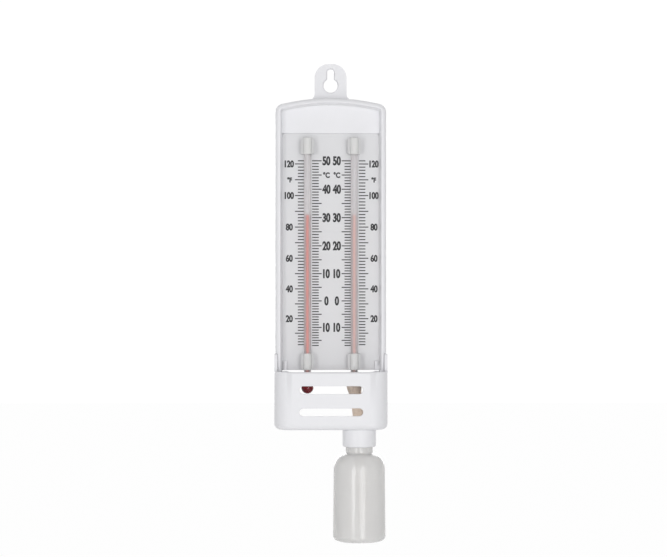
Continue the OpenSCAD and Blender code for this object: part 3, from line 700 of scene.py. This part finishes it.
def lettering(text, height, condense, weight, ink):
    """A mesh of flat text in the XZ plane, centred, with bold strokes."""
    words = bpy.data.curves.new("words", "FONT")
    words.body = text
    source = bpy.data.objects.new("words", words)
    bpy.context.scene.collection.objects.link(source)
    bpy.context.view_layer.update()
    graph = bpy.context.evaluated_depsgraph_get()
    outline = source.evaluated_get(graph).to_curve(graph).copy()
    heights = [p.co.y for s in outline.splines for p in s.bezier_points]
    grow = (height - 2 * weight) / (max(heights) - min(heights))
    outline.transform(Matrix.Diagonal((condense, 1, 1, 1)))
    outline.dimensions = "2D"
    outline.fill_mode = "BOTH"
    outline.offset = weight / grow
    outline.extrude = ink / grow
    holder = bpy.data.objects.new("outline", outline)
    bpy.context.scene.collection.objects.link(holder)
    bpy.context.view_layer.update()
    graph = bpy.context.evaluated_depsgraph_get()
    mesh = bpy.data.meshes.new_from_object(holder.evaluated_get(graph))
    xs = [v.co.x for v in mesh.vertices]
    ys = [v.co.y for v in mesh.vertices]
    middle = Vector(((max(xs) + min(xs)) / 2, (max(ys) + min(ys)) / 2, 0))
    size = Matrix.Diagonal((grow, grow, grow, 1))
    mesh.transform(Matrix.Rotation(math.pi / 2, 4, "X") @ size @ Matrix.Translation(-middle))
    bpy.data.objects.remove(source)
    bpy.data.objects.remove(holder)
    bpy.data.curves.remove(words)
    return mesh


class OBJECT_OT_hygrometer_scale(bpy.types.Operator):
    """Prints the degree lines and the numerals on the plate"""

    bl_idname = "object.hygrometer_scale"
    bl_label = "Scale"

    def execute(self, context):
        sizes = context.scene.hygrometer_sizes
        ink = screen_ink(context.scene.hygrometer_colours)
        front = PLATE_FRONT - sizes.ink / 2

        lines = bmesh.new()
        near, far = CELSIUS_LINES
        marks = [(mark_z(t), near if t % 5 else CELSIUS_REACH, far) for t in range(-17, 51)]
        near, far = FAHRENHEIT_LINES
        marks += [(mark_z((f - 32) / 1.8), near, far if f % 10 else FAHRENHEIT_REACH)
                  for f in range(2, 124, 2)]
        for z, inner, outer in marks:
            for side in (-1, 1):
                middle = (side * (inner + outer) / 2 + sizes.print_shift, front, z)
                size = Matrix.Diagonal((outer - inner, sizes.ink, sizes.tick, 1))
                bmesh.ops.create_cube(lines, size=1.0, matrix=Matrix.Translation(middle) @ size)
        piece("scale_lines", lines, ink, "case")

        words = bmesh.new()

        def write(text, x, z, height, condense, weight):
            mesh = lettering(text, height, condense, weight, sizes.ink / 2)
            mesh.transform(Matrix.Translation((x + sizes.print_shift, front, z)))
            words.from_mesh(mesh)
            bpy.data.meshes.remove(mesh)

        for side in (-1, 1):
            for celsius in (50, 40, 30, 20, 10, 0, -10):
                write(str(abs(celsius)), side * CELSIUS_X, mark_z(celsius),
                      sizes.celsius_h, *CELSIUS_FORM)
            for fahrenheit in range(20, 121, 20):
                write(str(fahrenheit), side * FAHRENHEIT_X, mark_z((fahrenheit - 32) / 1.8),
                      sizes.fahrenheit_h, *FAHRENHEIT_FORM)
            for text, x, celsius, height in SIGNS:
                write(text, side * x, mark_z(celsius), height, *SIGN_FORM)
        piece("scale_numerals", words, ink, "case")
        return {"FINISHED"}


class OBJECT_OT_hygrometer_thermometers(bpy.types.Operator):
    """Blows the two thermometers and fills them with spirit"""

    bl_idname = "object.hygrometer_thermometers"
    bl_label = "Thermometers"

    def execute(self, context):
        sizes = context.scene.hygrometer_sizes
        colours = context.scene.hygrometer_colours
        glass = drawn_glass(colours)
        opal = opal_glass(colours)
        deep = dyed_spirit(colours)
        thin = spirit_column(colours)
        # The spirit wets the glass, so its surface lies a hair inside the glass.
        wet = 0.02 * MM
        solid_end = 2.5 * MM
        for side in ("dry", "wet"):
            low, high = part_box(f"{side}_glass")
            bulb_r = (high.x - low.x) / 2
            axis = (low + high) / 2
            bulb_z = low.z + bulb_r
            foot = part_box(f"{side}_column")[0].z
            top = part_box(f"{side}_column")[1].z
            inside = bulb_r - sizes.glass_wall

            outer = spun(stem_profile(sizes.stem_r, high.z, bulb_r, bulb_z), axis, closed=False)
            inner = spun(stem_profile(sizes.bore_r, high.z - solid_end, inside, bulb_z), axis,
                         closed=False, inward=True)
            stem = piece(f"{side}_thermometer", joined(outer, inner), glass, "case",
                         [f"{side}_glass"], 50.0)
            stem.visible_shadow = False

            strip = merged_copy(f"{side}_enamel")
            piece(f"{side}_opal_strip", strip, opal, "case", [f"{side}_enamel"])

            r = sizes.bore_r + wet
            ball = inside + wet
            lean = math.degrees(math.acos(r / ball))
            fill = [(0, foot), (r, foot)] + arc((0, bulb_z), ball, lean, -90, 32)
            piece(f"{side}_bulb_spirit", spun(fill, axis, closed=False), deep, "case",
                  [f"{side}_spirit"], 50.0)

            rise = [(r, foot + (top - foot) * i / 40) for i in range(41)]
            column = spun([(0, foot), *rise, (0, top)], axis, 24, closed=False)
            thread = piece(f"{side}_spirit_column", column, thin, None, [f"{side}_column"])
            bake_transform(thread)

            low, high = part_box(f"{side}_meniscus")
            dip = 0.45 * r
            angles = [math.pi / 2 * i / 8 for i in range(9)]
            cup = [(r * math.sin(a), high.z - dip * math.cos(a)) for a in angles]
            head = spun([(0, low.z), (r, low.z), *reversed(cup)], axis, 24, closed=False)
            piece(f"{side}_spirit_top", head, thin, f"{side}_level", [f"{side}_meniscus"])
        return {"FINISHED"}


class OBJECT_OT_hygrometer_holders(bpy.types.Operator):
    """Puts the soft sleeves on the stems and clips them to the plate"""

    bl_idname = "object.hygrometer_holders"
    bl_label = "Sleeves and clips"

    def execute(self, context):
        sizes = context.scene.hygrometer_sizes
        colours = context.scene.hygrometer_colours
        vinyl = soft_vinyl(colours)
        waxy = natural_polypropylene(colours)
        lip = 0.5 * MM
        slack = 0.05 * MM
        cap = 1.0 * MM
        for side in ("dry", "wet"):
            for end in ("top", "bottom"):
                low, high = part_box(f"{side}_{end}_sleeve")
                r = (high.x - low.x) / 2
                bore = sizes.stem_r + slack
                axis = (low + high) / 2
                edge = arc((r - lip, high.z - lip), lip, 90, 0, 5)
                edge += arc((r - lip, low.z + lip), lip, 0, -90, 5)
                if end == "top":
                    roof = high.z - cap
                    tube = spun([(0, high.z), *edge, (bore, low.z), (bore, roof), (0, roof)], axis, 48,
                                closed=False)
                else:
                    tube = spun([(bore, high.z), *edge, (bore, low.z)], axis, 48)
                piece(f"{side}_{end}_vinyl_sleeve", tube, vinyl, "case",
                      [f"{side}_{end}_sleeve"], 50.0)
                clip = round_edges(merged_copy(f"{side}_{end}_clip"), sizes.small_edge)
                even_normals(piece(f"{side}_{end}_stem_clip", clip, waxy, "case",
                                   [f"{side}_{end}_clip"]))
        return {"FINISHED"}


class OBJECT_OT_hygrometer_sock(bpy.types.Operator):
    """Pulls the cotton sock over the wet bulb and ties it on"""

    bl_idname = "object.hygrometer_sock"
    bl_label = "Sock and tie"

    def execute(self, context):
        sizes = context.scene.hygrometer_sizes
        colours = context.scene.hygrometer_colours
        low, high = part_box("wet_glass")
        bulb_r = (high.x - low.x) / 2
        stem = (low + high) / 2
        bulb_z = low.z + bulb_r
        full = (bulb_r + 0.75 * MM) / MM
        snug = (sizes.stem_r + 0.72 * MM) / MM
        tie_low, tie_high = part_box("wick_tie")
        tie_z = (tie_low.z + tie_high.z) / 2
        tie = (tie_z - bulb_z) / MM
        brim = (SOCK_HIGH.z - bulb_z) / MM
        foot = [(w - c) / MM for w, c in zip(WICK_ROUTE[0], (stem.x, stem.y, bulb_z))]
        # Sideways, outward and upward from the bulb's centre, then half width and half depth, in mm.
        keys = [
            (0, 0, brim, snug + 0.15, snug + 0.15), (0, 0, tie + 1.3, snug, snug),
            (0, 0, tie, snug - 0.2, snug - 0.2), (0, 0, tie - 1.5, snug, snug),
            (0, 0, 3.2, full - 0.85, full - 0.85), (0, 0, 1.2, full, full),
            (0, 0, -1, full, full), (0.3, -0.15, -3, full - 0.35, full - 0.35),
            (0.8, -0.6, -5.6, full - 0.95, full - 1.5), (foot[0] - 0.1, foot[1] + 0.1, -8, 3.75, 2.3),
            (foot[0], foot[1], foot[2], sizes.wick_w / MM / 2 + 0.12, sizes.wick_t / MM / 2 + 0.15),
        ]
        marks = smooth_curve(keys, 7)
        places = [Vector((stem.x, stem.y, bulb_z)) + Vector(m[:3]) * MM for m in marks]
        ways = [b - a for a, b in zip(places, places[1:])]
        ways.append(ways[-1])
        rings = [(p, way, m[3] * MM, m[4] * MM) for p, way, m in zip(places, ways, marks)]
        bm = knitted_tube(rings, 88, sizes.wales, 0.1 * MM, sizes.course)
        bmesh.ops.recalc_face_normals(bm, faces=bm.faces)
        sock = piece("sock", bm, knitted_cotton(colours), "case", ["wick_sock"], 60.0)
        wall = sock.modifiers.new("Wall", "SOLIDIFY")
        wall.thickness = 0.55 * MM
        wall.offset = -1.0

        turns = 3
        pitch = sizes.thread_d + 0.05 * MM
        r = sizes.stem_r + 1.15 * MM
        steps = 24
        start_z = tie_z - turns * pitch / 2
        coil = []
        for i in range(turns * steps + 1):
            a = 2 * math.pi * i / steps
            coil.append((stem.x + r * math.cos(a), stem.y + r * math.sin(a), start_z + pitch * i / steps))
        line = bpy.data.curves.new("tie", "CURVE")
        line.dimensions = "3D"
        line.bevel_depth = sizes.thread_d / 2
        line.bevel_resolution = 3
        line.use_fill_caps = True
        spline = line.splines.new("POLY")
        spline.points.add(len(coil) - 1)
        for point, place in zip(spline.points, coil):
            point.co = (*place, 1)
        holder = bpy.data.objects.new("tie", line)
        context.scene.collection.objects.link(holder)
        context.view_layer.update()
        graph = context.evaluated_depsgraph_get()
        mesh = bpy.data.meshes.new_from_object(holder.evaluated_get(graph))
        bpy.data.objects.remove(holder)
        bm = bmesh.new()
        bm.from_mesh(mesh)
        piece("tie", bm, cotton_thread(colours), "case", ["wick_tie"], 60.0)
        return {"FINISHED"}


class OBJECT_OT_hygrometer_bottle(bpy.types.Operator):
    """Blows the water bottle and lays the sealing disc on its neck"""

    bl_idname = "object.hygrometer_bottle"
    bl_label = "Bottle"

    def execute(self, context):
        colours = context.scene.hygrometer_colours
        body = round_edges(merged_copy("bottle"), BOTTLE_EDGE)
        even_normals(piece("water_bottle", body, blown_polythene(colours), "bottle",
                           ["bottle"], 40.0))

        disc = round_edges(merged_copy("neck_seal"), BOTTLE_EDGE)
        even_normals(piece("sealing_disc", disc, polythene_foam(colours), "seal", ["neck_seal"]))
        return {"FINISHED"}


class VIEW3D_PT_hygrometer(bpy.types.Panel):
    """The hygrometer's sizes, colours and pieces"""

    bl_idname = "VIEW3D_PT_hygrometer"
    bl_label = "Hygrometer"
    bl_space_type = "VIEW_3D"
    bl_region_type = "UI"
    bl_category = "Hygrometer"

    def draw(self, context):
        layout = self.layout
        for group in (context.scene.hygrometer_sizes, context.scene.hygrometer_colours):
            column = layout.column()
            for name in group.__annotations__:
                column.prop(group, name)
        for operator in OPERATORS:
            layout.operator(operator.bl_idname)


OPERATORS = (
    OBJECT_OT_hygrometer_stage,
    OBJECT_OT_hygrometer_wick,
    OBJECT_OT_hygrometer_mouldings,
    OBJECT_OT_hygrometer_scale,
    OBJECT_OT_hygrometer_thermometers,
    OBJECT_OT_hygrometer_holders,
    OBJECT_OT_hygrometer_sock,
    OBJECT_OT_hygrometer_bottle,
)
CLASSES = (HygrometerSizes, HygrometerColours, *OPERATORS, VIEW3D_PT_hygrometer)


def register():
    for cls in CLASSES:
        bpy.utils.register_class(cls)
    bpy.types.Scene.hygrometer_sizes = PointerProperty(type=HygrometerSizes)
    bpy.types.Scene.hygrometer_colours = PointerProperty(type=HygrometerColours)


def unregister():
    del bpy.types.Scene.hygrometer_colours
    del bpy.types.Scene.hygrometer_sizes
    for cls in reversed(CLASSES):
        bpy.utils.unregister_class(cls)


def main():
    register()
    for operator in OPERATORS:
        group, name = operator.bl_idname.split(".")
        getattr(getattr(bpy.ops, group), name)()


if __name__ == "__main__":
    main()
